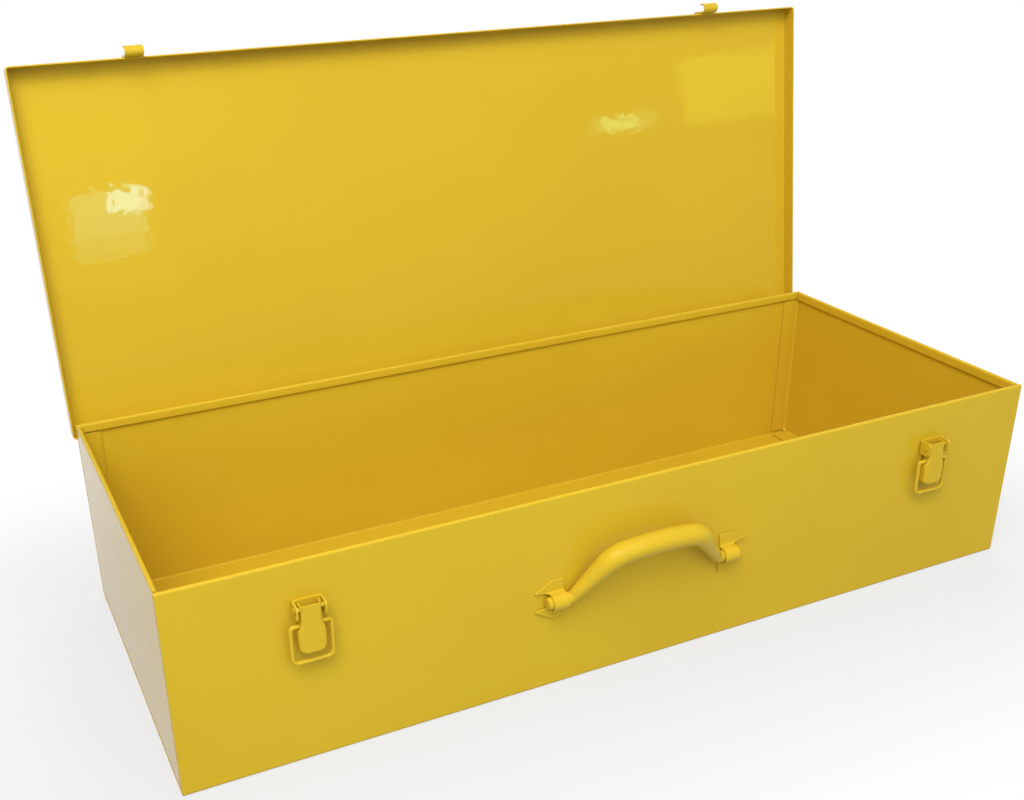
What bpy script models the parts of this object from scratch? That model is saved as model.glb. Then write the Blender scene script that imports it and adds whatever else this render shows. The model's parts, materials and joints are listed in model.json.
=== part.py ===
"""Yellow enamelled sheet-steel tool box with a lift-up lid.

Metres, +Z up. The front with the latches and the handle faces -Y, and the
origin is the middle of the underside. The tray is one folded wrapper sheet
with two end panels. The lid swings on two stop hinges at the back. Two draw
latches and a swinging carry handle sit on the front. Rest is the box standing
open: lid on its stop, levers down, bails hanging, handle lifted.
"""
import math

import bmesh
import bpy
from mathutils import Matrix, Vector

# Tray
TRAY_WIDTH = 0.600
TRAY_DEPTH = 0.237
TRAY_HEIGHT = 0.1315
SHEET = 0.0010
BEND_RADIUS = 0.0015        # inside radius of the tray's folds
HEM_HEIGHT = 0.0060         # folded rim on the long walls
END_HEM_HEIGHT = 0.0066     # folded rim on the end panels
HEM_GAP = 0.0010            # slot left inside a folded rim
RIM_GAP = 0.0010            # open corner between neighbouring rims
SEAM_FLANGE = 0.0150        # end-panel flange welded inside the wrapper
SEAT_GAP = 0.0003           # between two pieces that lie on each other

# Lid
LID_FLANGE = 0.0125
LID_CLEARANCE = 0.0010      # flange to tray wall, all round
LID_BEND_RADIUS = 0.0015
LID_OPEN_DEGREES = 98.3

# Hinges
HINGE_INSET = 0.100         # tray's end to the middle of the hinge
HINGE_WIDTH = 0.040
HINGE_SHEET = 0.0012
KNUCKLE_WIDTH = 0.013       # middle knuckle, on the lid's leaf
KNUCKLE_RADIUS = 0.0030
KNUCKLE_GAP = 0.0005        # round a turning knuckle
HINGE_PIN_RADIUS = 0.0015
HINGE_PIN_PROUD = 0.0010    # pin past each end of the knuckles
TRAY_LEAF_LENGTH = 0.018
STOP_LENGTH = 0.009         # stop tongue, from the pin
FLANGE_TO_KNUCKLE = 0.0007
FITTING_SET = 0.0012        # lid's fittings below the start of its fold

# Latches
LATCH_INSET = 0.0793        # tray's end to the middle of the latch
LATCH_DROP = 0.0123         # lid's edge to the top of the base plate
LATCH_SHEET = 0.0012
LATCH_PLATE_HEIGHT = 0.0310
EAR_SPAN = 0.0176           # over the outsides of both ears
EAR_HEIGHT = 0.0090
EAR_MARGIN = 0.0032         # ear past the middle of the pin
EAR_ROUND = 0.0025
EAR_BEND_RADIUS = 0.0006
LEVER_PIN_RADIUS = 0.00135
LEVER_PIN_LIP = 0.00065     # pin head past the shaft, all round
LEVER_PIN_HEAD = 0.0005     # thickness of the head
LEVER_SHEET = 0.0010
LEVER_DEPTH = 0.0054        # face to the rear edge of the side walls
LEVER_SETBACK = 0.0023      # face to the middle of the pin
LEVER_HEAD = 0.0025         # lever above the middle of the pin
LEVER_TOP_DROP = 0.0006     # lever's end below the top of the base plate
LEVER_SWING_GAP = 0.0009    # lever's corner to the base plate as it turns
NECK_CLEARANCE = 0.0014     # lever's neck to each ear
LEVER_BODY_WIDTH = 0.0160
LEVER_SHOULDER_GAP = 0.0008  # lever's wide body to the ears as it turns
LEVER_SWELL = 0.0080        # height over which the neck widens
LEVER_EDGE_RADIUS = 0.0010
LEVER_TIP_RADIUS = 0.0030
LEVER_TIP_GAP = 0.0060      # lever's tip to the bar of the hanging bail
PIN_CLEARANCE = 0.0003

# Bails
WIRE_RADIUS = 0.00125
BAIL_LEG_GAP = 0.0009       # leg to pin head
BAIL_PIVOT_DROP = 0.0106    # below the lever's pin
OVER_CENTRE = 0.0009        # bail's pivot nearer the wall than the lever's pin
BAIL_CORNER_RADIUS = 0.0036
BAIL_SHOULDER_RADIUS = 0.0018
BAIL_TAIL = 0.0012          # wire past the inside of the lever's wall

# Keepers on the lid
KEEPER_SHEET = 0.0012
KEEPER_WIDTH = 0.0122
KEEPER_SHIFT = -0.0022      # keeper's middle from the latch's middle
HOOK_RADIUS = 0.0022        # inside the curl
HOOK_TIP = 0.0024           # straight tip after the curl
HOOK_GAP = 0.0070           # hook above the base plate, box closed

# Handle
HANDLE_CENTRE = -0.0050     # from the middle of the front
HANDLE_PIVOT_HEIGHT = 0.0635
HANDLE_LIFT_DEGREES = 20.0  # off the wall, at rest
STUB_RADIUS = 0.0040
STUB_PROUD = 0.0025         # stub past the outside of its saddle
STUB_CHAMFER = 0.0012
GRIP_RADIUS = 0.0070
BOW_FOOT = 0.0530           # where leg and stub meet, from the handle's middle
BOW_SHOULDER = 0.0305       # where leg and grip meet
BOW_HEIGHT = 0.0284
GRIP_CROWN = 0.0045
FOOT_RADIUS = 0.0060
SHOULDER_RADIUS = 0.0160
SADDLE_SHEET = 0.0010
SADDLE_WIDTH = 0.0105
SADDLE_END_GAP = 0.0006     # saddle to the start of the bow's bend
SADDLE_CLEARANCE = 0.0004   # round the turning stub
SADDLE_FOOT = 0.0070
SADDLE_FLARE = 0.0095       # root of the foot past the strap, outwards
SADDLE_FOOT_END_WIDTH = 0.0080
SADDLE_BEND_RADIUS = 0.0010

# Facets
ARC_STEPS = 6
EDGE_STEPS = 4              # small rounds and folds of the fittings
ARCH_STEPS = 8              # quarter of a saddle's arch
CURL_STEPS = 10
TIP_DEGREES = (0, 20, 40, 60, 90)
KNUCKLE_SIDES = 24
PIN_SIDES = 16
WIRE_RESOLUTION = 3
HANDLE_RESOLUTION = 6
SHARP_DEGREES = 35.0
MERGE_DISTANCE = 1e-6

YELLOW = (0.66, 0.44, 0.020, 1.0)
YELLOW_ROUGHNESS = 0.22
PIN_GREY = (0.42, 0.40, 0.36, 1.0)
PIN_ROUGHNESS = 0.40

# Places that follow from the sizes
FRONT = -TRAY_DEPTH / 2
BACK = TRAY_DEPTH / 2
HEM_MID_RADIUS = (HEM_GAP + SHEET) / 2
HEM_THICKNESS = HEM_GAP + 2 * SHEET
BEND_MID_RADIUS = BEND_RADIUS + SHEET / 2
LID_TOP = TRAY_HEIGHT + SEAT_GAP + SHEET
LID_EDGE = LID_TOP - LID_FLANGE
LID_REACH = LID_CLEARANCE + SHEET          # lid's outside past the tray's outside
FITTING_HIGH = LID_TOP - SHEET - LID_BEND_RADIUS - FITTING_SET
HINGE_Y = BACK + SEAT_GAP + KNUCKLE_RADIUS
HINGE_Z = LID_EDGE - FLANGE_TO_KNUCKLE - KNUCKLE_RADIUS

LATCH_TOP = LID_EDGE - LATCH_DROP
EAR_BOTTOM = LATCH_TOP - EAR_HEIGHT
LEVER_SWING = math.hypot(max(LEVER_SETBACK, LEVER_DEPTH - LEVER_SETBACK), LEVER_HEAD)
LEVER_PIVOT_REACH = SEAT_GAP + LATCH_SHEET + LEVER_SWING_GAP + LEVER_SWING
LEVER_TOP = LATCH_TOP - LEVER_TOP_DROP
LEVER_PIVOT_HEIGHT = LEVER_TOP - LEVER_HEAD
LEVER_REACH = LEVER_PIVOT_REACH + LEVER_SETBACK
LEVER_BACK = LEVER_REACH - LEVER_DEPTH
LEVER_NECK_WIDTH = EAR_SPAN - 2 * (LATCH_SHEET + NECK_CLEARANCE)
EAR_REACH = LEVER_PIVOT_REACH + EAR_MARGIN
EAR_SWEEP = math.hypot(EAR_MARGIN, LEVER_PIVOT_HEIGHT - EAR_BOTTOM)
LEVER_NECK_END = LEVER_PIVOT_HEIGHT - EAR_SWEEP - LEVER_SHOULDER_GAP
LEVER_BODY_START = LEVER_NECK_END - LEVER_SWELL

KEEPER_MID = LID_REACH + SEAT_GAP + KEEPER_SHEET / 2
HOOK_CENTRE = KEEPER_MID + KEEPER_SHEET / 2 + HOOK_RADIUS
BAIL_SPAN = EAR_SPAN + 2 * (SEAT_GAP + LEVER_PIN_HEAD + BAIL_LEG_GAP) + 4 * WIRE_RADIUS
BAIL_PIVOT_REACH = LEVER_PIVOT_REACH - OVER_CENTRE
BAIL_PIVOT_HEIGHT = LEVER_PIVOT_HEIGHT - BAIL_PIVOT_DROP
BAR_HEIGHT = LATCH_TOP + HOOK_GAP + KEEPER_SHEET + SEAT_GAP + WIRE_RADIUS    # bail's bar, latched
BAIL_LENGTH = math.hypot(BAR_HEIGHT - BAIL_PIVOT_HEIGHT, HOOK_CENTRE - BAIL_PIVOT_REACH)
LEVER_BOTTOM = BAIL_PIVOT_HEIGHT - BAIL_LENGTH + WIRE_RADIUS + LEVER_TIP_GAP

HANDLE_PIVOT_REACH = STUB_RADIUS + SADDLE_CLEARANCE
FOOT_TURN = math.atan2(BOW_HEIGHT, BOW_FOOT - BOW_SHOULDER)
SADDLE_INNER_END = BOW_FOOT + FOOT_RADIUS * math.tan(FOOT_TURN / 2) + SADDLE_END_GAP
STUB_END = SADDLE_INNER_END + SADDLE_WIDTH + STUB_PROUD


def clear_scene():
    for item in list(bpy.data.objects):
        bpy.data.objects.remove(item, do_unlink=True)


def make_material(name, colour, roughness, metallic):
    material = bpy.data.materials.new(name)
    material.use_nodes = True
    shader = material.node_tree.nodes["Principled BSDF"]
    shader.inputs["Base Color"].default_value = colour
    shader.inputs["Roughness"].default_value = roughness
    shader.inputs["Metallic"].default_value = metallic
    material.diffuse_color = colour
    return material


def arc(centre, radius, start, end, steps=ARC_STEPS):
    """Points of a plane arc, angles in degrees, both ends included."""
    points = []
    for step in range(steps + 1):
        angle = math.radians(start + (end - start) * step / steps)
        points.append((centre[0] + radius * math.cos(angle), centre[1] + radius * math.sin(angle)))
    return points


def rounded(corners, radii, steps=ARC_STEPS):
    """A plane path through corners, each inner corner replaced by an arc."""
    path = [Vector(corners[0])]
    for before, corner, after, radius in zip(corners, corners[1:], corners[2:], radii):
        corner = Vector(corner)
        back = (Vector(before) - corner).normalized()
        ahead = (Vector(after) - corner).normalized()
        half = back.angle(ahead) / 2
        centre = corner + (back + ahead).normalized() * (radius / math.sin(half))
        start = corner + back * (radius / math.tan(half)) - centre
        sweep = start.angle_signed(corner + ahead * (radius / math.tan(half)) - centre)
        for step in range(steps + 1):
            path.append(centre + Matrix.Rotation(-sweep * step / steps, 2) @ start)
    path.append(Vector(corners[-1]))
    return path


def smooth_step(value):
    value = min(max(value, 0.0), 1.0)
    return value * value * (3 - 2 * value)


def front_point(x, reach, z):
    """A point in front of the front wall, by its distance off the wall."""
    return Vector((x, FRONT - reach, z))


def add_object(name, data, material, pivot=None):
    """Link an object; a moving one takes its pivot as its origin and parent."""
    item = bpy.data.objects.new(name, data)
    bpy.context.scene.collection.objects.link(item)
    if material:
        data.materials.append(material)
    if pivot:
        item.parent = pivot
        data.transform(Matrix.Translation(-place_of(pivot)))
    return item


def place_of(pivot):
    """Where a pivot stands with the box closed."""
    return Vector(pivot["place"])


def add_pivot(name, place, degrees=0.0, parent=None):
    """An empty on a joint axis, turned about X to its rest angle."""
    pivot = bpy.data.objects.new(name, None)
    bpy.context.scene.collection.objects.link(pivot)
    place = Vector(place)
    pivot.location = place - place_of(parent) if parent else place
    pivot.parent = parent
    pivot.rotation_euler.x = math.radians(degrees)
    pivot["place"] = place
    return pivot


def mesh_from(name, surface):
    mesh = bpy.data.meshes.new(name)
    surface.to_mesh(mesh)
    surface.free()
    mesh.shade_smooth()
    mesh.set_sharp_from_angle(angle=math.radians(SHARP_DEGREES))
    return mesh


def add_sheet(name, patches, thickness, material, pivot=None):
    """Sheet metal: grids of mid-surface points, joined at shared edges and thickened."""
    surface = bmesh.new()
    for rows in patches:
        grid = [[surface.verts.new(point) for point in row] for row in rows]
        for row, following in zip(grid, grid[1:]):
            for i in range(len(row) - 1):
                surface.faces.new((row[i], row[i + 1], following[i + 1], following[i]))
    bmesh.ops.remove_doubles(surface, verts=surface.verts, dist=MERGE_DISTANCE)
    bmesh.ops.recalc_face_normals(surface, faces=surface.faces)
    item = add_object(name, mesh_from(name, surface), material, pivot)
    thicken(item, thickness)
    return item


def thicken(item, thickness):
    solidify = item.modifiers.new("sheet", 'SOLIDIFY')
    solidify.thickness = thickness
    solidify.offset = 0.0
    solidify.use_even_offset = True
    solidify.use_quality_normals = True


def x_cylinder(name, centre, radius, length, sides, material=None, pivot=None):
    """A cylinder along X."""
    surface = bmesh.new()
    turn = Matrix.Translation(centre) @ Matrix.Rotation(math.pi / 2, 4, 'Y')
    bmesh.ops.create_cone(surface, cap_ends=True, segments=sides, radius1=radius, radius2=radius,
                          depth=length, matrix=turn)
    return add_object(name, mesh_from(name, surface), material, pivot)


def x_prism(name, centre, outline, length, material=None, pivot=None):
    """An outline of (y, z) points round a centre, drawn out along X to both sides."""
    surface = bmesh.new()
    rim = [surface.verts.new(centre + Vector((-length / 2, y, z))) for y, z in outline]
    drawn = bmesh.ops.extrude_face_region(surface, geom=[surface.faces.new(rim)])
    moved = [item for item in drawn["geom"] if isinstance(item, bmesh.types.BMVert)]
    bmesh.ops.translate(surface, verts=moved, vec=(length, 0.0, 0.0))
    bmesh.ops.recalc_face_normals(surface, faces=surface.faces)
    return add_object(name, mesh_from(name, surface), material, pivot)


def box(name, low, high, material=None, pivot=None):
    surface = bmesh.new()
    low, high = Vector(low), Vector(high)
    place = Matrix.Translation((low + high) / 2) @ Matrix.Diagonal((high - low).to_4d())
    bmesh.ops.create_cube(surface, size=1.0, matrix=place)
    return add_object(name, mesh_from(name, surface), material, pivot)


def combine(item, tool, operation):
    """Boolean a hidden guide solid into a piece."""
    tool.hide_render = True
    tool.display_type = 'WIRE'
    boolean = item.modifiers.new(tool.name, 'BOOLEAN')
    boolean.operation = operation
    boolean.solver = 'EXACT'
    boolean.object = tool


def add_rod(name, path, radii, resolution, material, pivot):
    """Round bar along a path, with a radius at each point."""
    curve = bpy.data.curves.new(name, 'CURVE')
    curve.dimensions = '3D'
    curve.bevel_depth = 1.0
    curve.bevel_resolution = resolution
    curve.use_fill_caps = True
    spline = curve.splines.new('POLY')
    spline.points.add(len(path) - 1)
    for point, place, radius in zip(spline.points, path, radii):
        point.co = (*place, 1.0)
        point.radius = radius
    return add_object(name, curve, material, pivot)


def build_wrapper(enamel):
    """Front wall, floor and back wall folded from one sheet, with hemmed rims."""
    wall = BACK - SHEET / 2
    turn = (wall - HEM_MID_RADIUS, TRAY_HEIGHT - SHEET / 2 - HEM_MID_RADIUS)
    fold = (wall - BEND_MID_RADIUS, SHEET / 2 + BEND_MID_RADIUS)
    back = arc(fold, BEND_MID_RADIUS, -90, 0) + arc(turn, HEM_MID_RADIUS, 0, 180)
    back.append((turn[0] - HEM_MID_RADIUS, TRAY_HEIGHT - HEM_HEIGHT))
    path = [(-y, z) for y, z in reversed(back)] + back
    rows = [[(x, y, z) for y, z in path] for x in (-TRAY_WIDTH / 2, TRAY_WIDTH / 2)]
    add_sheet("tray_wrapper", [rows], SHEET, enamel)


def build_end_panel(name, side, enamel):
    """End wall with a hemmed rim and welded flanges along the floor and both long walls."""
    floor = SHEET + SEAT_GAP + SHEET / 2
    flange_y = BACK - SHEET - SEAT_GAP - SHEET / 2
    wall_half = flange_y - BEND_MID_RADIUS
    rim_half = BACK - HEM_THICKNESS - RIM_GAP
    wall_low = floor + BEND_MID_RADIUS
    flange_top = TRAY_HEIGHT - HEM_HEIGHT - RIM_GAP
    wall_high = TRAY_HEIGHT - SHEET / 2 - HEM_MID_RADIUS
    hem_turn = (SHEET / 2 + HEM_MID_RADIUS, wall_high)
    fold_in = SHEET / 2 + BEND_MID_RADIUS

    def place(inward, y, z):
        return (side * (TRAY_WIDTH / 2 - inward), y, z)

    def across(path, half):
        stations = sorted({v for v in (-wall_half, -rim_half, rim_half, wall_half) if abs(v) <= half})
        return [[place(inward, y, z) for inward, z in path] for y in stations]

    foot = [(SEAM_FLANGE, floor)] + arc((fold_in, wall_low), BEND_MID_RADIUS, 270, 180)
    lower = foot + [(SHEET / 2, flange_top)]
    upper = [(SHEET / 2, flange_top)] + arc(hem_turn, HEM_MID_RADIUS, 180, 0)
    upper.append((hem_turn[0] + HEM_MID_RADIUS, TRAY_HEIGHT - END_HEM_HEIGHT))
    patches = [across(lower, wall_half), across(upper, rim_half)]
    corner = arc((fold_in, wall_half), BEND_MID_RADIUS, 180, 90) + [(SEAM_FLANGE, flange_y)]
    for end in (-1, 1):
        patches.append([[place(inward, end * y, z) for inward, y in corner] for z in (wall_low, flange_top)])
    add_sheet(name, patches, SHEET, enamel)


def build_lid(pivot, enamel):
    """Shallow pan with welded corners, drawn closed over the rim."""
    half = Vector((TRAY_WIDTH / 2 + LID_REACH - SHEET / 2, BACK + LID_REACH - SHEET / 2, 0.0))
    top = LID_TOP - SHEET / 2
    pan = bmesh.new()
    size = (2 * half.x, 2 * half.y, top - LID_EDGE)
    place = Matrix.Translation((0.0, 0.0, (top + LID_EDGE) / 2)) @ Matrix.Diagonal((*size, 1.0))
    bmesh.ops.create_cube(pan, size=1.0, matrix=place)
    mouth = min(pan.faces, key=lambda face: face.calc_center_median().z)
    bmesh.ops.delete(pan, geom=[mouth], context='FACES_ONLY')
    folds = [edge for edge in pan.edges if not edge.is_boundary]
    bmesh.ops.bevel(pan, geom=folds, offset=LID_BEND_RADIUS + SHEET / 2, segments=EDGE_STEPS, profile=0.5,
                    affect='EDGES')
    item = add_object("lid_pan", mesh_from("lid_pan", pan), enamel, pivot)
    thicken(item, SHEET)


def knuckle_outline(arms):
    """Outline in (y, z) of a knuckle round the pin, with flat arms leaving it.

    An arm is its direction in degrees, the offsets of its two sides and its length."""
    meets = [[direction + math.degrees(math.asin(side / KNUCKLE_RADIUS)) for side in (low, high)]
             for direction, low, high, _ in arms]
    outline = []
    for i, (direction, low, high, length) in enumerate(arms):
        turn = Matrix.Rotation(math.radians(direction), 2)
        outline += [turn @ Vector((length, side)) for side in (low, high)]
        start = meets[i][1]
        sweep = (meets[(i + 1) % len(arms)][0] - start) % 360.0
        outline += arc((0.0, 0.0), KNUCKLE_RADIUS, start, start + sweep, KNUCKLE_SIDES // len(arms))
    return outline


def build_hinge(side_name, x, lid_pivot, enamel, steel):
    """Cranked butt hinge: two knuckles on the tray, one with a stop tongue on the lid, and a pin.

    Each leaf is a blank with one long knuckle, notched for the other leaf's knuckles."""
    axis = Vector((x, HINGE_Y, HINGE_Z))
    clear = KNUCKLE_RADIUS + KNUCKLE_GAP
    knuckle_half = KNUCKLE_WIDTH / 2

    plate = (-90.0, -KNUCKLE_RADIUS, HINGE_SHEET - KNUCKLE_RADIUS, TRAY_LEAF_LENGTH)
    tray_leaf = x_prism(f"{side_name}_hinge_tray_leaf", axis, knuckle_outline([plate]), HINGE_WIDTH, enamel)
    notch = Vector((knuckle_half + KNUCKLE_GAP, clear, clear))
    combine(tray_leaf, box(f"{side_name}_tray_notch", axis - notch, axis + notch), 'DIFFERENCE')

    set_back = HINGE_Y - BACK - LID_REACH - SEAT_GAP
    plate = (90.0, set_back - HINGE_SHEET, set_back, FITTING_HIGH - HINGE_Z)
    stop_side = HINGE_SHEET + SEAT_GAP - KNUCKLE_RADIUS
    tongue = (LID_OPEN_DEGREES - 90.0, stop_side, stop_side + HINGE_SHEET, STOP_LENGTH)
    lid_leaf = x_prism(f"{side_name}_hinge_lid_leaf", axis, knuckle_outline([tongue, plate]), HINGE_WIDTH,
                       enamel, lid_pivot)
    reach = STOP_LENGTH + KNUCKLE_RADIUS
    for end in (-1, 1):
        near, far = sorted((end * knuckle_half, end * HINGE_WIDTH))
        combine(lid_leaf, box(f"{side_name}_lid_notch_{end}", axis + Vector((near, -reach, -reach)),
                              axis + Vector((far, reach, clear)), None, lid_pivot), 'DIFFERENCE')

    bore = HINGE_PIN_RADIUS + PIN_CLEARANCE
    for leaf, pivot in ((tray_leaf, None), (lid_leaf, lid_pivot)):
        combine(leaf, x_cylinder(f"{leaf.name}_bore", axis, bore, 2 * HINGE_WIDTH, KNUCKLE_SIDES,
                                 None, pivot), 'DIFFERENCE')
    x_cylinder(f"{side_name}_hinge_pin", axis, HINGE_PIN_RADIUS, HINGE_WIDTH + 2 * HINGE_PIN_PROUD,
               PIN_SIDES, steel)


def build_latch_base(name, x, enamel):
    """Welded plate with two folded ears that carry the lever's pin."""
    plate = SEAT_GAP + LATCH_SHEET / 2
    ear_x = EAR_SPAN / 2 - LATCH_SHEET / 2
    fold = EAR_BEND_RADIUS + LATCH_SHEET / 2
    flat = ear_x - fold
    face = [[front_point(x + dx, plate, z) for dx in (-flat, flat)]
            for z in (LATCH_TOP - LATCH_PLATE_HEIGHT, EAR_BOTTOM, LATCH_TOP)]
    patches = [face]
    for end in (-1, 1):
        bend = arc((flat, plate + fold), fold, -90, 0)
        patches.append([[front_point(x + end * dx, reach, z) for dx, reach in bend]
                        for z in (EAR_BOTTOM, LATCH_TOP)])
        low = arc((EAR_REACH - EAR_ROUND, EAR_BOTTOM + EAR_ROUND), EAR_ROUND, -90, 0, EDGE_STEPS)
        high = arc((EAR_REACH - EAR_ROUND, LATCH_TOP - EAR_ROUND), EAR_ROUND, 90, 0, EDGE_STEPS)
        root = [(plate + fold, EAR_BOTTOM)] + low
        tip = [(plate + fold, LATCH_TOP)] + high
        patches.append([[front_point(x + end * ear_x, reach, z) for reach, z in edge]
                        for edge in (root, tip)])
    base = add_sheet(name, patches, LATCH_SHEET, enamel)
    pivot = front_point(x, LEVER_PIVOT_REACH, LEVER_PIVOT_HEIGHT)
    combine(base, x_cylinder(f"{name}_bore", pivot, LEVER_PIN_RADIUS + PIN_CLEARANCE, 2 * EAR_SPAN,
                             PIN_SIDES), 'DIFFERENCE')


def build_lever_pin(name, x, enamel):
    """Headed pin through ears and lever."""
    pivot = front_point(x, LEVER_PIVOT_REACH, LEVER_PIVOT_HEIGHT)
    shaft = EAR_SPAN + 2 * SEAT_GAP + LEVER_PIN_HEAD
    pin = x_cylinder(name, pivot, LEVER_PIN_RADIUS, shaft, PIN_SIDES, enamel)
    for end in (-1, 1):
        centre = pivot + Vector((end * (EAR_SPAN / 2 + SEAT_GAP + LEVER_PIN_HEAD / 2), 0.0, 0.0))
        combine(pin, x_cylinder(f"{name}_head_{end}", centre, LEVER_PIN_RADIUS + LEVER_PIN_LIP,
                                LEVER_PIN_HEAD, PIN_SIDES), 'UNION')


def lever_half_width(z):
    """Middle of the lever's side wall: narrow neck, wide body, rounded tip."""
    neck = (LEVER_NECK_WIDTH - LEVER_SHEET) / 2
    body = (LEVER_BODY_WIDTH - LEVER_SHEET) / 2
    half = neck + (body - neck) * smooth_step((LEVER_NECK_END - z) / (LEVER_NECK_END - LEVER_BODY_START))
    rise = z - LEVER_BOTTOM
    if rise < LEVER_TIP_RADIUS:
        half -= LEVER_TIP_RADIUS - math.sqrt(LEVER_TIP_RADIUS ** 2 - (LEVER_TIP_RADIUS - rise) ** 2)
    return half


def build_lever(name, x, pivot, bail_place, enamel):
    """Pressed channel: a flat face with side walls turned back towards the wall."""
    face = LEVER_REACH - LEVER_SHEET / 2
    edge = LEVER_EDGE_RADIUS + LEVER_SHEET / 2
    tip = [LEVER_BOTTOM + LEVER_TIP_RADIUS * (1 - math.cos(math.radians(angle))) for angle in TIP_DEGREES]
    swell = [LEVER_BODY_START + (LEVER_NECK_END - LEVER_BODY_START) * i / ARC_STEPS
             for i in range(ARC_STEPS + 1)]
    rows = []
    for z in tip + swell + [LEVER_TOP]:
        half = lever_half_width(z)
        corner = arc((half - edge, face - edge), edge, 0, 90, EDGE_STEPS)
        right = [(half, LEVER_BACK)] + corner
        section = [(-dx, reach) for dx, reach in right] + list(reversed(right))
        rows.append([front_point(x + dx, reach, z) for dx, reach in section])
    lever = add_sheet(name, [rows], LEVER_SHEET, enamel, pivot)
    holes = (("pin", place_of(pivot), LEVER_PIN_RADIUS), ("bail", bail_place, WIRE_RADIUS))
    for label, place, radius in holes:
        combine(lever, x_cylinder(f"{name}_{label}_bore", place, radius + PIN_CLEARANCE, 2 * EAR_SPAN,
                                  PIN_SIDES, None, pivot), 'DIFFERENCE')


def build_bail(name, x, pivot, enamel):
    """Wire loop with its ends turned into the lever's side walls."""
    leg = BAIL_SPAN / 2 - WIRE_RADIUS
    inner = lever_half_width(BAIL_PIVOT_HEIGHT) - LEVER_SHEET / 2 - BAIL_TAIL
    bar = BAIL_PIVOT_HEIGHT - BAIL_LENGTH
    corners = [(-inner, BAIL_PIVOT_HEIGHT), (-leg, BAIL_PIVOT_HEIGHT), (-leg, bar),
               (leg, bar), (leg, BAIL_PIVOT_HEIGHT), (inner, BAIL_PIVOT_HEIGHT)]
    radii = (BAIL_SHOULDER_RADIUS, BAIL_CORNER_RADIUS, BAIL_CORNER_RADIUS, BAIL_SHOULDER_RADIUS)
    path = [front_point(x + dx, BAIL_PIVOT_REACH, z) for dx, z in rounded(corners, radii)]
    add_rod(name, path, [WIRE_RADIUS] * len(path), WIRE_RESOLUTION, enamel, pivot)


def build_keeper(name, x, pivot, enamel):
    """Strip welded on the lid's front flange, curled up into a hook for the bail."""
    half = KEEPER_WIDTH / 2
    curl_z = BAR_HEIGHT - WIRE_RADIUS - SEAT_GAP + HOOK_RADIUS
    curl = arc((HOOK_CENTRE, curl_z), HOOK_RADIUS + KEEPER_SHEET / 2, 180, 360, CURL_STEPS)
    path = [(KEEPER_MID, FITTING_HIGH)] + curl + [(curl[-1][0], curl_z + HOOK_TIP)]
    rows = [[front_point(x + dx, reach, z) for reach, z in path] for dx in (-half, half)]
    add_sheet(name, [rows], KEEPER_SHEET, enamel, pivot)


def build_handle(pivot, enamel):
    """Bent round bar, thick in the grip, with its ends turned out into the saddles."""
    stub = STUB_END - STUB_CHAMFER
    corners = [(-stub, 0.0), (-BOW_FOOT, 0.0), (-BOW_SHOULDER, BOW_HEIGHT),
               (BOW_SHOULDER, BOW_HEIGHT), (BOW_FOOT, 0.0), (stub, 0.0)]
    bent = rounded(corners, (FOOT_RADIUS, SHOULDER_RADIUS, SHOULDER_RADIUS, FOOT_RADIUS))
    middle = len(bent) // 2
    grip = [bent[middle - 1].lerp(bent[middle], i / ARC_STEPS) for i in range(1, ARC_STEPS)]
    path = [(-STUB_END, 0.0)] + bent[:middle] + grip + bent[middle:] + [(STUB_END, 0.0)]
    places = []
    radii = []
    for x, height in path:
        crown = GRIP_CROWN * smooth_step((BOW_FOOT - abs(x)) / BOW_FOOT)
        z = HANDLE_PIVOT_HEIGHT + height + crown
        places.append(front_point(HANDLE_CENTRE + x, HANDLE_PIVOT_REACH, z))
        radii.append(STUB_RADIUS + (GRIP_RADIUS - STUB_RADIUS) * smooth_step(height / BOW_HEIGHT))
    radii[0] = radii[-1] = STUB_RADIUS - STUB_CHAMFER
    add_rod("handle_bow", places, radii, HANDLE_RESOLUTION, enamel, pivot)


def saddle_width(past_arch, fold):
    """Even over the arch, flared through the fold, tapered to the end of the foot."""
    root = SADDLE_WIDTH + SADDLE_FLARE
    if past_arch < fold:
        return SADDLE_WIDTH + SADDLE_FLARE * max(0.0, past_arch) / fold
    return root + (SADDLE_FOOT_END_WIDTH - root) * (past_arch - fold) / SADDLE_FOOT


def build_saddle(name, side, enamel):
    """Strap formed over the handle's stub, with tapered feet welded to the wall."""
    foot = SEAT_GAP + SADDLE_SHEET / 2
    arch = STUB_RADIUS + SADDLE_CLEARANCE + SADDLE_SHEET / 2
    fold = SADDLE_BEND_RADIUS + SADDLE_SHEET / 2
    upper = arc((HANDLE_PIVOT_REACH, 0.0), arch, 0, 90, ARCH_STEPS)
    upper += arc((foot + fold, arch + fold), fold, 270, 180, EDGE_STEPS)
    upper.append((foot, arch + fold + SADDLE_FOOT))
    path = [(reach, -z) for reach, z in reversed(upper[1:])] + upper
    rows = []
    for reach, rise in path:
        outer = SADDLE_INNER_END + saddle_width(abs(rise) - arch, fold)
        rows.append([front_point(HANDLE_CENTRE + side * dx, reach, HANDLE_PIVOT_HEIGHT + rise)
                     for dx in (SADDLE_INNER_END, outer)])
    add_sheet(name, [rows], SADDLE_SHEET, enamel)


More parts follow.
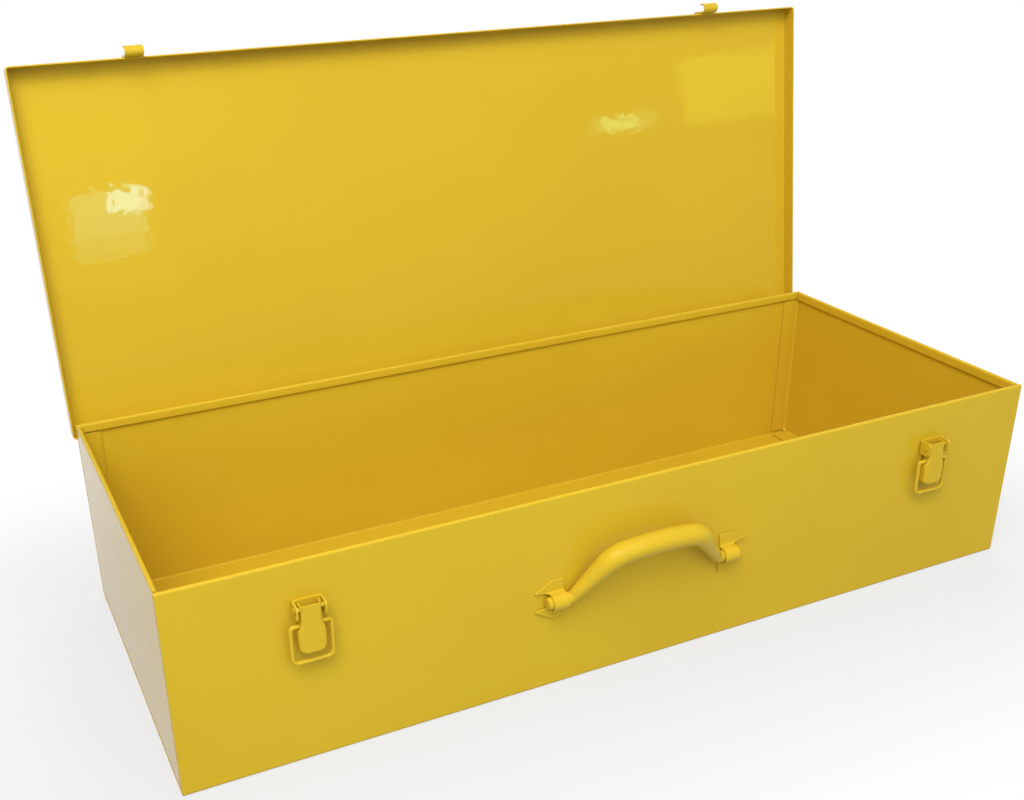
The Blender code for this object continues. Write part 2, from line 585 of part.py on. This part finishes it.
def main():
    clear_scene()
    enamel = make_material("yellow_enamel", YELLOW, YELLOW_ROUGHNESS, 0.0)
    steel = make_material("pin_steel", PIN_GREY, PIN_ROUGHNESS, 1.0)

    build_wrapper(enamel)
    lid_pivot = add_pivot("lid_hinge_axis", (0.0, HINGE_Y, HINGE_Z), -LID_OPEN_DEGREES)
    build_lid(lid_pivot, enamel)
    handle_place = front_point(HANDLE_CENTRE, HANDLE_PIVOT_REACH, HANDLE_PIVOT_HEIGHT)
    build_handle(add_pivot("handle_axis", handle_place, HANDLE_LIFT_DEGREES), enamel)

    for side_name, side in (("left", -1), ("right", 1)):
        build_end_panel(f"{side_name}_end_panel", side, enamel)
        build_hinge(side_name, side * (TRAY_WIDTH / 2 - HINGE_INSET), lid_pivot, enamel, steel)
        build_saddle(f"{side_name}_handle_saddle", side, enamel)
        x = side * (TRAY_WIDTH / 2 - LATCH_INSET)
        build_keeper(f"{side_name}_keeper", x + KEEPER_SHIFT, lid_pivot, enamel)
        build_latch_base(f"{side_name}_latch_base", x, enamel)
        build_lever_pin(f"{side_name}_lever_pin", x, enamel)
        lever_place = front_point(x, LEVER_PIVOT_REACH, LEVER_PIVOT_HEIGHT)
        lever_pivot = add_pivot(f"{side_name}_lever_axis", lever_place)
        bail_place = front_point(x, BAIL_PIVOT_REACH, BAIL_PIVOT_HEIGHT)
        bail_pivot = add_pivot(f"{side_name}_bail_axis", bail_place, 0.0, lever_pivot)
        build_lever(f"{side_name}_latch_lever", x, lever_pivot, bail_place, enamel)
        build_bail(f"{side_name}_latch_bail", x, bail_pivot, enamel)


main()
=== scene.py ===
"""Enamelled tool box: gloss paint, softened sheet edges and a white studio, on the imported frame."""

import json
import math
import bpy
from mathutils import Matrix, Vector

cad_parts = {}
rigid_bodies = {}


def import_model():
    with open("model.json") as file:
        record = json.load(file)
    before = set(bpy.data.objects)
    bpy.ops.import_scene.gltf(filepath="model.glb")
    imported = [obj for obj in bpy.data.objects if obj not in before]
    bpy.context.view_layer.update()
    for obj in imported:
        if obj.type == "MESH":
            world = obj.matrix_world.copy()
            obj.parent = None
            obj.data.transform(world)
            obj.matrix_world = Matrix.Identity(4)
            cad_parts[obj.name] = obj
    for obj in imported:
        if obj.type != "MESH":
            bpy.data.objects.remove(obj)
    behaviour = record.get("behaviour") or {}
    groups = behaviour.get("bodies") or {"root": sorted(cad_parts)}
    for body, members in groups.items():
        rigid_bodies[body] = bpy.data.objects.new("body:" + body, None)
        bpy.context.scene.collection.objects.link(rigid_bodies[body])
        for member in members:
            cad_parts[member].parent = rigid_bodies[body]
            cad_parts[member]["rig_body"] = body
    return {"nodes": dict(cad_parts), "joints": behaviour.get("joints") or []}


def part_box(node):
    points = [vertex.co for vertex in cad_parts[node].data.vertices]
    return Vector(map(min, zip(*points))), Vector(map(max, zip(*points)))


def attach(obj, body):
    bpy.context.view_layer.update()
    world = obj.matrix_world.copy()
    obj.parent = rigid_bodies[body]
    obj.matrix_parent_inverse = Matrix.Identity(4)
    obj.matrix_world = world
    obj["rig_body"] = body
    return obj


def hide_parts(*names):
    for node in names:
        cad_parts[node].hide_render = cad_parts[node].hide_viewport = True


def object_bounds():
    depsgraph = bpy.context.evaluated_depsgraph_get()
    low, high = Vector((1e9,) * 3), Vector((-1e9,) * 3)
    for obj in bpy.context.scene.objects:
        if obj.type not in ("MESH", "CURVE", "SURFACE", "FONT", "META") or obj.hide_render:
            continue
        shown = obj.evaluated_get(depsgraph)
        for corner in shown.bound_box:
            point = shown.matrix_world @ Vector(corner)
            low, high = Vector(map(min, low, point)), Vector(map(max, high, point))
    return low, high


bl_info = {
    "name": "Enamelled Tool Box",
    "version": (1, 0, 0),
    "blender": (4, 5, 0),
    "location": "3D View > Sidebar > Tool Box",
    "description": "Paints the sheet-metal tool box and sets it in a white studio",
    "category": "Object",
}

from typing import NamedTuple

import bmesh
import bpy
from bpy.props import FloatProperty, FloatVectorProperty, PointerProperty
from bpy.types import NodeSocket, Operator, Panel, PropertyGroup
from mathutils import Matrix, Vector
from mathutils import noise as turbulence

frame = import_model()

CAD_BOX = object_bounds()
SIDES = ("left", "right")
WHITE = (1.0, 1.0, 1.0)

# The photograph's frame in pixels, the sensor in millimetres, the nearest visible place in metres
IMAGE_WIDTH = 1024
IMAGE_HEIGHT = 800
SENSOR_WIDTH = 36.0
NEAREST = 0.01

# Outward directions of the sheets that the fittings are welded to, and the lid's inner side
LID_JOINT = next(joint for joint in frame["joints"] if joint["name"] == "lid_hinge")
LID_OPEN = math.radians(-LID_JOINT["range_deg"][0])
LID_TURN = Matrix.Rotation(-LID_OPEN, 3, 'X')
FRONT_OUT = Vector((0.0, -1.0, 0.0))
BACK_OUT = Vector((0.0, 1.0, 0.0))
LID_FRONT_OUT = LID_TURN @ FRONT_OUT
LID_BACK_OUT = LID_TURN @ BACK_OUT
LID_INSIDE = LID_TURN @ Vector((0.0, 0.0, -1.0))
# Cosine above which a face counts as part of the lid's inner side
LID_INSIDE_COSINE = 0.999

# Painted copies: how close corners are merged, how flat faces are joined, the seam under a fitting
# that paint closes, and the rounds on edges sharper than an angle, with their material's index
MERGE_DISTANCE = 1e-6
FLAT_ANGLE = math.radians(0.4)
SEAM_TOLERANCE = 0.00005
SEAM_CLOSED = 0.00025
ROUNDED_ANGLE = math.radians(38)
ROUND_SEGMENTS = 2
ROUND_MATERIAL = 1

# Corner welds: fineness, shares of the radius along each axis, height and closeness of the lumps
WELD_SUBDIVISIONS = 3
WELD_SHAPE = Vector((0.92, 1.25, 1.25))
WELD_LUMP = 0.08
WELD_LUMPS_PER_RADIUS = 2.0


class Mottle(NamedTuple):
    """A layer of noise: width of its lumps, octaves, their roughness and the range that shows."""
    size: float
    detail: float
    roughness: float = 0.5
    shown: tuple = (0.0, 1.0)


COLOUR_DRIFT = Mottle(0.16, 3.0, shown=(0.35, 0.65))
GLOSS_DRIFT = Mottle(0.028, 4.0, 0.6, (0.3, 0.7))
# Edge tone: a paler colour on the rounded edges, partly scuffed thin paint and partly a painted
# highlight along every edge
EDGE_SCUFF_AND_HIGHLIGHT = Mottle(0.012, 5.0, 0.7, (0.46, 0.60))
EDGE_SCUFF_AND_HIGHLIGHT_MOST = 0.75
EDGE_CHIPS = Mottle(0.0045, 3.0, 0.65, (0.66, 0.69))
WAVE_DETAIL = 1.0
PEEL_DETAIL = 0.5
ENAMEL_IOR = 1.18

TURNING_MARKS = Mottle(0.0006, 3.0, shown=(0.3, 0.7))
TURNING_STRETCH = (0.08, 1.0, 1.0)
TURNING_DEPTH = 0.00003
TURNING_STRENGTH = 0.5
STEEL_STAIN = Mottle(0.006, 4.0, shown=(0.4, 0.65))
STEEL_CLEAN = (0.48, 0.46, 0.43)
STEEL_STAINED = (0.26, 0.22, 0.18)
STEEL_ROUGHNESS = (0.28, 0.50)

FLOOR_GRAIN = Mottle(0.02, 3.0)
FLOOR_GRAIN_SHADE = 0.97


class Softbox(NamedTuple):
    """A lamp's place, the point it faces, its width and height, and whether paint mirrors it."""
    place: tuple
    target: tuple
    width: float
    height: float
    mirrored: bool = True


KEY_SOFTBOX = Softbox((-0.38, -1.32, 1.40), (0.0, 0.0, 0.15), 2.4, 1.2)
TRAY_SOFTBOX = Softbox((-0.62, -0.72, 1.52), (0.0, 0.0, 0.05), 0.90, 0.70)
BACK_SOFTBOX = Softbox((1.0, 1.6, 1.2), (0.0, 0.0, 0.15), 1.8, 1.2, mirrored=False)


class LightPatch(NamedTuple):
    """Light mirrored in the lid: x and z of its middle, and the lamp's size, level and colour."""
    x: float
    z: float
    width: float
    height: float
    brightness: float
    tint: tuple


# The tints make up for the yellow beneath, so that the sum has the colour of the patch
PALE_TINT = (0.40, 0.86, 1.0)
GREY_TINT = (0.15, 1.0, 0.75)
HAZY_TINT = (0.35, 1.0, 0.38)
WARM_TINT = (0.75, 1.0, 0.05)
LIGHT_PATCHES = {
    "left_patch": LightPatch(-0.2540, 0.252, 0.155, 0.150, 6.6, GREY_TINT),
    "left_patch_middle": LightPatch(-0.2520, 0.259, 0.150, 0.105, 5.6, GREY_TINT),
    "left_patch_top": LightPatch(-0.2385, 0.2650, 0.080, 0.048, 40.0, PALE_TINT),
    "left_glow": LightPatch(-0.2560, 0.266, 0.260, 0.360, 1.4, WARM_TINT),
    "right_patch": LightPatch(0.1450, 0.279, 0.155, 0.040, 8.0, HAZY_TINT),
    "right_patch_middle": LightPatch(0.1435, 0.279, 0.085, 0.030, 20.0, HAZY_TINT),
    "right_glow": LightPatch(0.2500, 0.298, 0.230, 0.150, 9.0, WARM_TINT),
}
PATCH_DISTANCE = 2.0


def length(name, description, default, smallest=0.0):
    return FloatProperty(name=name, description=description, default=default, min=smallest,
                         unit='LENGTH', precision=5)


def share(name, description, default):
    return FloatProperty(name=name, description=description, default=default, min=0.0, max=1.0,
                         subtype='FACTOR')


def colour(name, description, default):
    return FloatVectorProperty(name=name, description=description, default=default, size=3,
                               min=0.0, max=1.0, subtype='COLOR')


def angle(name, description, degrees):
    return FloatProperty(name=name, description=description, default=math.radians(degrees),
                         subtype='ANGLE')


def power(name, description, default):
    return FloatProperty(name=name, description=description, default=default, min=0.0,
                         unit='POWER')


class ToolBoxEnamel(PropertyGroup):
    """Gloss paint on every sheet and fitting."""
    yellow: colour("Yellow", "Paint colour", (0.620, 0.412, 0.0225))
    deep: colour("Deep yellow", "Paint colour where the coat is thick", (0.604, 0.394, 0.0205))
    # Paler than the paint: a scuffed thin coat on the edges and a painted highlight along them
    scuffed_and_highlit: colour("Rubbed edge", "Paint rubbed thin over a sheet's edge", (0.615, 0.424, 0.038))
    bare: colour("Bare steel", "Steel that shows through a chip", (0.16, 0.13, 0.10))
    shine_low: share("Least roughness", "Roughness where the paint flowed out well", 0.012)
    shine_high: share("Most roughness", "Roughness where the paint is drier", 0.035)
    peel_size: length("Peel size", "Width of the ripples of sprayed paint", 0.0045, 0.0001)
    peel_depth: length("Peel depth", "Height of those ripples", 0.000026)
    wave_size: length("Wave size", "Width of the slow waves in the sheet", 0.085, 0.001)
    wave_depth: length("Wave depth", "Height of those waves", 0.00022)
    edge_round: length("Edge round", "Radius that the paint gives a sheet's edge", 0.00028)
    weld_radius: length("Weld radius", "Size of the weld that closes a corner of the tray", 0.0017)


class ToolBoxStage(PropertyGroup):
    """Camera, floor and lamps."""
    focal: FloatProperty(name="Focal length", description="Lens, in pixels of the photograph",
                         default=1219.3, min=100.0)
    middle_x: FloatProperty(name="Middle X", default=458.4,
                            description="Pixel of the optical axis, from the left")
    middle_y: FloatProperty(name="Middle Y", default=451.8,
                            description="Pixel of the optical axis, from the top")
    eye: FloatVectorProperty(name="Eye", description="Camera's place", size=3, subtype='XYZ',
                             unit='LENGTH', default=(-0.3770, -0.6622, 0.4591))
    azimuth: angle("Azimuth", "Camera's turn round the box", -24.553)
    elevation: angle("Elevation", "Camera's tilt down", 25.483)
    roll: angle("Roll", "Camera's lean", -1.215)
    floor: colour("Floor", "Colour of the floor", (0.43, 0.43, 0.427))
    floor_size: length("Floor size", "Edge of the floor", 24.0, 1.0)
    near_white: share("Near white", "Share of plain white in the floor beside the tray", 0.70)
    fade: length("Fade", "Distance from the tray where the floor is plain white", 0.22, 0.01)
    ambient: FloatProperty(name="Ambient", description="Level of the even light",
                           default=0.39, min=0.0)
    key_power: power("Key", "Power of the wide softbox in front, on the left", 23.5)
    inside_power: power("Inside", "Power of the softbox high over the tray's left end", 16.5)
    back_power: power("Back", "Power of the softbox behind, on the right", 27.0)


def settings():
    scene = bpy.context.scene
    return scene.tool_box_enamel, scene.tool_box_stage


def link(item):
    bpy.context.scene.collection.objects.link(item)


def mesh_from(surface, name):
    """A mesh with the surface's faces; the surface is freed."""
    mesh = bpy.data.meshes.new(name)
    surface.to_mesh(mesh)
    surface.free()
    return mesh


def add_node(tree, kind, inputs=None, **options):
    """A shader node with its options set and its inputs filled or linked."""
    made = tree.nodes.new(kind)
    for key, value in options.items():
        setattr(made, key, value)
    for key, value in (inputs or {}).items():
        if isinstance(value, NodeSocket):
            tree.links.new(value, made.inputs[key])
        else:
            made.inputs[key].default_value = value
    return made


def new_tree(owner):
    """The empty node tree of a material or world."""
    owner.use_nodes = True
    tree = owner.node_tree
    tree.nodes.clear()
    return tree


def object_place(tree):
    return add_node(tree, "ShaderNodeTexCoord").outputs["Object"]


def noise(tree, place, layer):
    """Soft noise whose lumps are about as wide as the layer says."""
    made = add_node(tree, "ShaderNodeTexNoise",
                    {"Vector": place, "Scale": 1.0 / layer.size, "Detail": layer.detail,
                     "Roughness": layer.roughness})
    return made.outputs["Fac"]


def remap(tree, value, source, target=(0.0, 1.0), **options):
    """A value moved from one range to another."""
    made = add_node(tree, "ShaderNodeMapRange",
                    {"Value": value, "From Min": source[0], "From Max": source[1],
                     "To Min": target[0], "To Max": target[1]}, **options)
    return made.outputs["Result"]


def blend(tree, factor, first, second):
    made = add_node(tree, "ShaderNodeMix", {"Factor": factor, "A": first, "B": second},
                    data_type='RGBA')
    return made.outputs["Result"]


def rgba(values):
    return (*values, 1.0)


def enamel_material(name, paint, scuffed_and_highlit):
    """Sprayed gloss enamel: slow sheet waves, fine peel, drifting gloss and colour.

    The edge one is for the rounded edges: thin scuffed paint made paler as a painted highlight, and
    chips that show steel."""
    material = bpy.data.materials.new(name)
    tree = new_tree(material)
    place = object_place(tree)
    drift = remap(tree, noise(tree, place, COLOUR_DRIFT), COLOUR_DRIFT.shown)
    tint = blend(tree, drift, rgba(paint.yellow), rgba(paint.deep))
    gloss = remap(tree, noise(tree, place, GLOSS_DRIFT), GLOSS_DRIFT.shown,
                  (paint.shine_low, paint.shine_high))
    if scuffed_and_highlit:
        # Paler edge tone: scuffed paint and a painted highlight
        scuff_and_highlight = remap(tree, noise(tree, place, EDGE_SCUFF_AND_HIGHLIGHT), EDGE_SCUFF_AND_HIGHLIGHT.shown, (0.0, EDGE_SCUFF_AND_HIGHLIGHT_MOST))
        tint = blend(tree, scuff_and_highlight, tint, rgba(paint.scuffed_and_highlit))
        chip = remap(tree, noise(tree, place, EDGE_CHIPS), EDGE_CHIPS.shown)
        tint = blend(tree, chip, tint, rgba(paint.bare))
    waves = add_node(tree, "ShaderNodeBump",
                     {"Height": noise(tree, place, Mottle(paint.wave_size, WAVE_DETAIL)),
                      "Distance": paint.wave_depth})
    peel = add_node(tree, "ShaderNodeBump",
                    {"Height": noise(tree, place, Mottle(paint.peel_size, PEEL_DETAIL)),
                     "Distance": paint.peel_depth, "Normal": waves.outputs["Normal"]})
    shader = add_node(tree, "ShaderNodeBsdfPrincipled",
                      {"Base Color": tint, "Roughness": gloss, "IOR": ENAMEL_IOR,
                       "Normal": peel.outputs["Normal"]})
    add_node(tree, "ShaderNodeOutputMaterial", {"Surface": shader.outputs["BSDF"]})
    material.diffuse_color = rgba(paint.yellow)
    return material


def pin_material(name):
    """Drawn steel with turning marks and stains."""
    material = bpy.data.materials.new(name)
    tree = new_tree(material)
    place = object_place(tree)
    stretched = add_node(tree, "ShaderNodeMapping", {"Vector": place, "Scale": TURNING_STRETCH})
    marks = noise(tree, stretched.outputs["Vector"], TURNING_MARKS)
    stain = remap(tree, noise(tree, place, STEEL_STAIN), STEEL_STAIN.shown)
    bump = add_node(tree, "ShaderNodeBump",
                    {"Height": marks, "Strength": TURNING_STRENGTH, "Distance": TURNING_DEPTH})
    shader = add_node(tree, "ShaderNodeBsdfPrincipled",
                      {"Base Color": blend(tree, stain, rgba(STEEL_CLEAN), rgba(STEEL_STAINED)),
                       "Metallic": 1.0, "Normal": bump.outputs["Normal"],
                       "Roughness": remap(tree, marks, TURNING_MARKS.shown, STEEL_ROUGHNESS)})
    add_node(tree, "ShaderNodeOutputMaterial", {"Surface": shader.outputs["BSDF"]})
    return material


def finish(name):
    """A shared finish, made the first time that it is asked for."""
    made = bpy.data.materials.get(name)
    if made:
        return made
    if name == "drawn_steel":
        return pin_material(name)
    paint, _ = settings()
    return enamel_material(name, paint, scuffed_and_highlit=name == "scuffed_highlit_enamel")


def seat(surface, outward):
    """Move the face that lies on a sheet down to it: paint closes the seam there."""
    reach = min(outward.dot(vertex.co) for vertex in surface.verts)
    for vertex in surface.verts:
        if outward.dot(vertex.co) - reach < SEAM_TOLERANCE:
            vertex.co -= outward * SEAM_CLOSED


def soften(piece, radius):
    """Round the raw edges of the sheet; the rounds take the edge finish, scuffed and made paler as a
    painted highlight.
    """
    bevel = piece.modifiers.new("edge round", 'BEVEL')
    bevel.width = radius
    bevel.segments = ROUND_SEGMENTS
    bevel.limit_method = 'ANGLE'
    bevel.angle_limit = ROUNDED_ANGLE
    bevel.material = ROUND_MATERIAL
    smooth = piece.modifiers.new("even shading", 'WEIGHTED_NORMAL')
    smooth.keep_sharp = True


def painted_copy(node_name, round_radius, outward=None):
    """A node's own shape with merged corners, rounded sheet edges and gloss enamel.

    With an outward direction, the face on the sheet behind it is seated there."""
    source = frame["nodes"][node_name]
    surface = bmesh.new()
    surface.from_mesh(source.data)
    bmesh.ops.remove_doubles(surface, verts=surface.verts, dist=MERGE_DISTANCE)
    bmesh.ops.dissolve_limit(surface, angle_limit=FLAT_ANGLE, verts=surface.verts,
                             edges=surface.edges)
    if outward is not None:
        seat(surface, outward)
    mesh = mesh_from(surface, f"{node_name}_painted")
    mesh.shade_smooth()
    mesh.materials.append(finish("gloss_enamel"))
    mesh.materials.append(finish("scuffed_highlit_enamel"))
    piece = bpy.data.objects.new(f"{node_name}_painted", mesh)
    link(piece)
    soften(piece, round_radius)
    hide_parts(node_name)
    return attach(piece, source["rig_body"])


class TOOLBOX_OT_paint_tray(Operator):
    """Paint the folded tray and its end panels"""
    bl_idname = "tool_box.paint_tray"
    bl_label = "Tray"

    def execute(self, context):
        paint, _ = settings()
        for node in ("tray_wrapper", "left_end_panel", "right_end_panel"):
            painted_copy(node, paint.edge_round)
        return {'FINISHED'}


def add_weld(name, side, end, radius):
    """A small lumpy weld in the notch where an end panel's flanges meet."""
    low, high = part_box("right_end_panel")
    middle = Vector((side * (high.x - radius), end * (high.y - radius), low.z + radius))
    own_lumps = Vector((side, end, 0.0))
    surface = bmesh.new()
    bmesh.ops.create_icosphere(surface, subdivisions=WELD_SUBDIVISIONS, radius=1.0)
    for vertex in surface.verts:
        lump = turbulence.noise(vertex.co * WELD_LUMPS_PER_RADIUS + own_lumps)
        vertex.co = vertex.co * WELD_SHAPE * radius * (1.0 + WELD_LUMP * lump) + middle
    mesh = mesh_from(surface, name)
    mesh.shade_smooth()
    mesh.materials.append(finish("gloss_enamel"))
    piece = bpy.data.objects.new(name, mesh)
    link(piece)
    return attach(piece, "tray")


class TOOLBOX_OT_weld_corners(Operator):
    """Close the tray's lower corners with weld, painted over"""
    bl_idname = "tool_box.weld_corners"
    bl_label = "Corner welds"

    def execute(self, context):
        paint, _ = settings()
        for side, left_right in zip(SIDES, (-1.0, 1.0)):
            for end, front_back in (("front", -1.0), ("back", 1.0)):
                name = f"{side}_{end}_corner_weld"
                add_weld(name, left_right, front_back, paint.weld_radius)
        return {'FINISHED'}


class TOOLBOX_OT_paint_lid(Operator):
    """Paint the lid's pan"""
    bl_idname = "tool_box.paint_lid"
    bl_label = "Lid"

    def execute(self, context):
        paint, _ = settings()
        painted_copy("lid_pan", paint.edge_round)
        return {'FINISHED'}


class TOOLBOX_OT_paint_hinges(Operator):
    """Paint the hinge leaves and finish their pins"""
    bl_idname = "tool_box.paint_hinges"
    bl_label = "Hinges"

    def execute(self, context):
        paint, _ = settings()
        for side in SIDES:
            painted_copy(f"{side}_hinge_tray_leaf", paint.edge_round, BACK_OUT)
            painted_copy(f"{side}_hinge_lid_leaf", paint.edge_round, LID_BACK_OUT)
            pin = frame["nodes"][f"{side}_hinge_pin"]
            pin.data.materials.clear()
            pin.data.materials.append(finish("drawn_steel"))
        return {'FINISHED'}


class TOOLBOX_OT_paint_latches(Operator):
    """Paint the draw latches: bases, pins, levers and wire bails"""
    bl_idname = "tool_box.paint_latches"
    bl_label = "Latches"

    def execute(self, context):
        paint, _ = settings()
        for side in SIDES:
            painted_copy(f"{side}_latch_base", paint.edge_round, FRONT_OUT)
            for part in ("lever_pin", "latch_lever", "latch_bail"):
                painted_copy(f"{side}_{part}", paint.edge_round)
        return {'FINISHED'}


class TOOLBOX_OT_paint_keepers(Operator):
    """Paint the keepers on the lid"""
    bl_idname = "tool_box.paint_keepers"
    bl_label = "Keepers"

    def execute(self, context):
        paint, _ = settings()
        for side in SIDES:
            painted_copy(f"{side}_keeper", paint.edge_round, LID_FRONT_OUT)
        return {'FINISHED'}


class TOOLBOX_OT_paint_handle(Operator):
    """Paint the carry handle and its saddles"""
    bl_idname = "tool_box.paint_handle"
    bl_label = "Handle"

    def execute(self, context):
        paint, _ = settings()
        painted_copy("handle_bow", paint.edge_round)
        for side in SIDES:
            painted_copy(f"{side}_handle_saddle", paint.edge_round, FRONT_OUT)
        return {'FINISHED'}


def camera_matrix(stage):
    """Camera's place and turn, from its azimuth, elevation and roll."""
    level = math.cos(stage.elevation)
    back = Vector((math.sin(stage.azimuth) * level, -math.cos(stage.azimuth) * level,
                   math.sin(stage.elevation)))
    right = Vector((0.0, 0.0, 1.0)).cross(back).normalized()
    up = back.cross(right)
    lean = Matrix.Rotation(stage.roll, 3, 'Z')
    turn = Matrix((right, up, back)).transposed() @ lean
    return Matrix.Translation(stage.eye) @ turn.to_4x4()


def add_camera(stage):
    camera = bpy.data.cameras.new("camera")
    camera.sensor_width = SENSOR_WIDTH
    camera.lens = stage.focal * SENSOR_WIDTH / IMAGE_WIDTH
    camera.shift_x = (IMAGE_WIDTH / 2 - stage.middle_x) / IMAGE_WIDTH
    camera.shift_y = (stage.middle_y - IMAGE_HEIGHT / 2) / IMAGE_WIDTH
    camera.clip_start = NEAREST
    item = bpy.data.objects.new("camera", camera)
    item.matrix_world = camera_matrix(stage)
    link(item)
    bpy.context.scene.camera = item


def seen_by_eye(tree):
    """1 for rays that show the background as it is: straight, mirrored or through glass."""
    path = add_node(tree, "ShaderNodeLightPath")
    mirrored = add_node(tree, "ShaderNodeMath",
                        {0: path.outputs["Is Camera Ray"], 1: path.outputs["Is Glossy Ray"]},
                        operation='MAXIMUM')
    shown = add_node(tree, "ShaderNodeMath",
                     {0: mirrored.outputs["Value"], 1: path.outputs["Is Transmission Ray"]},
                     operation='MAXIMUM')
    return shown.outputs["Value"]


def add_world(stage):
    """Even light of the ambient level, seen as plain white."""
    world = bpy.data.worlds.new("white_studio")
    bpy.context.scene.world = world
    tree = new_tree(world)
    level = remap(tree, seen_by_eye(tree), (0.0, 1.0), (stage.ambient, 1.0))
    shown = add_node(tree, "ShaderNodeBackground", {"Color": rgba(WHITE), "Strength": level})
    add_node(tree, "ShaderNodeOutputWorld", {"Surface": shown.outputs["Background"]})


def vector_math(tree, operation, *values):
    return add_node(tree, "ShaderNodeVectorMath", dict(enumerate(values)), operation=operation)


def tray_distance(tree, place):
    """Distance on the floor from the tray's outline."""
    _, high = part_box("tray_wrapper")
    folded = vector_math(tree, 'ABSOLUTE', place).outputs["Vector"]
    past = vector_math(tree, 'SUBTRACT', folded, (high.x, high.y, 0.0)).outputs["Vector"]
    outside = vector_math(tree, 'MAXIMUM', past, (0.0, 0.0, 0.0)).outputs["Vector"]
    return vector_math(tree, 'LENGTH', outside).outputs["Value"]


def floor_material(stage):
    """Matt and pale, and shown as plain white further from the tray."""
    material = bpy.data.materials.new("pale_floor")
    tree = new_tree(material)
    place = object_place(tree)
    far = remap(tree, tray_distance(tree, place), (0.0, stage.fade), (stage.near_white, 1.0),
                interpolation_type='SMOOTHSTEP')
    white = add_node(tree, "ShaderNodeMath", {0: far, 1: seen_by_eye(tree)}, operation='MULTIPLY')
    grain = [FLOOR_GRAIN_SHADE * value for value in stage.floor]
    tone = blend(tree, noise(tree, place, FLOOR_GRAIN), rgba(stage.floor), rgba(grain))
    matt = add_node(tree, "ShaderNodeBsdfDiffuse", {"Color": tone})
    shown = add_node(tree, "ShaderNodeEmission", {"Color": rgba(WHITE), "Strength": 1.0})
    mixed = add_node(tree, "ShaderNodeMixShader",
                     {0: white.outputs["Value"], 1: matt.outputs["BSDF"],
                      2: shown.outputs["Emission"]})
    add_node(tree, "ShaderNodeOutputMaterial", {"Surface": mixed.outputs["Shader"]})
    return material


def add_floor(stage):
    """Pale floor that keeps the box's shadow."""
    surface = bmesh.new()
    bmesh.ops.create_grid(surface, x_segments=1, y_segments=1, size=stage.floor_size / 2)
    mesh = mesh_from(surface, "floor")
    mesh.materials.append(floor_material(stage))
    item = bpy.data.objects.new("floor", mesh)
    item.location.z = CAD_BOX[0][2]
    link(item)


def add_lamp(name, softbox, watts, tint=WHITE):
    """A rectangular lamp at its place, turned to its target, hidden from the camera."""
    lamp = bpy.data.lights.new(name, 'AREA')
    lamp.shape = 'RECTANGLE'
    lamp.size = softbox.width
    lamp.size_y = softbox.height
    lamp.energy = watts
    lamp.color = tint
    item = bpy.data.objects.new(name, lamp)
    item.location = softbox.place
    facing = Vector(softbox.target) - Vector(softbox.place)
    item.rotation_euler = facing.to_track_quat('-Z', 'Y').to_euler()
    item.visible_camera = False
    item.visible_glossy = softbox.mirrored
    link(item)


def lid_inside_point():
    """A point on the lid's inner face, in the middle of its width."""
    inner = [face for face in frame["nodes"]["lid_pan"].data.polygons
             if face.normal.dot(LID_INSIDE) > LID_INSIDE_COSINE]
    largest = max(inner, key=lambda face: face.area)
    return Vector((0.0, largest.center.y, largest.center.z))


def add_light_patches(stage):
    """Small bright lamps where the lid's inside mirrors them to the camera."""
    on_face = lid_inside_point()
    for name, patch in LIGHT_PATCHES.items():
        rise = patch.z - on_face.z
        spot = Vector((patch.x, on_face.y - rise * LID_INSIDE.z / LID_INSIDE.y, patch.z))
        ray = (spot - Vector(stage.eye)).normalized()
        place = spot + ray.reflect(LID_INSIDE) * PATCH_DISTANCE
        watts = patch.brightness * math.pi * patch.width * patch.height
        add_lamp(name, Softbox(place, spot, patch.width, patch.height), watts, patch.tint)


class TOOLBOX_OT_set_stage(Operator):
    """Set the camera, the floor and the lamps"""
    bl_idname = "tool_box.set_stage"
    bl_label = "Stage"

    def execute(self, context):
        _, stage = settings()
        context.scene.view_settings.view_transform = 'Standard'
        add_camera(stage)
        add_world(stage)
        add_floor(stage)
        add_lamp("key_softbox", KEY_SOFTBOX, stage.key_power)
        add_lamp("tray_softbox", TRAY_SOFTBOX, stage.inside_power)
        add_lamp("back_softbox", BACK_SOFTBOX, stage.back_power)
        add_light_patches(stage)
        return {'FINISHED'}


STEPS = (
    TOOLBOX_OT_set_stage,
    TOOLBOX_OT_paint_tray,
    TOOLBOX_OT_weld_corners,
    TOOLBOX_OT_paint_lid,
    TOOLBOX_OT_paint_hinges,
    TOOLBOX_OT_paint_latches,
    TOOLBOX_OT_paint_keepers,
    TOOLBOX_OT_paint_handle,
)


class TOOLBOX_PT_panel(Panel):
    """Tool box steps and settings"""
    bl_idname = "TOOLBOX_PT_panel"
    bl_label = "Tool Box"
    bl_space_type = 'VIEW_3D'
    bl_region_type = 'UI'
    bl_category = "Tool Box"

    def draw(self, context):
        for step in STEPS:
            self.layout.operator(step.bl_idname)
        for group in settings():
            box = self.layout.box()
            for key in group.__annotations__:
                box.prop(group, key)


CLASSES = (ToolBoxEnamel, ToolBoxStage, *STEPS, TOOLBOX_PT_panel)


def register():
    for item in CLASSES:
        bpy.utils.register_class(item)
    bpy.types.Scene.tool_box_enamel = PointerProperty(type=ToolBoxEnamel)
    bpy.types.Scene.tool_box_stage = PointerProperty(type=ToolBoxStage)


def unregister():
    del bpy.types.Scene.tool_box_stage
    del bpy.types.Scene.tool_box_enamel
    for item in reversed(CLASSES):
        bpy.utils.unregister_class(item)


def main():
    register()
    bpy.ops.tool_box.set_stage()
    bpy.ops.tool_box.paint_tray()
    bpy.ops.tool_box.weld_corners()
    bpy.ops.tool_box.paint_lid()
    bpy.ops.tool_box.paint_hinges()
    bpy.ops.tool_box.paint_latches()
    bpy.ops.tool_box.paint_keepers()
    bpy.ops.tool_box.paint_handle()


if __name__ == "__main__":
    main()
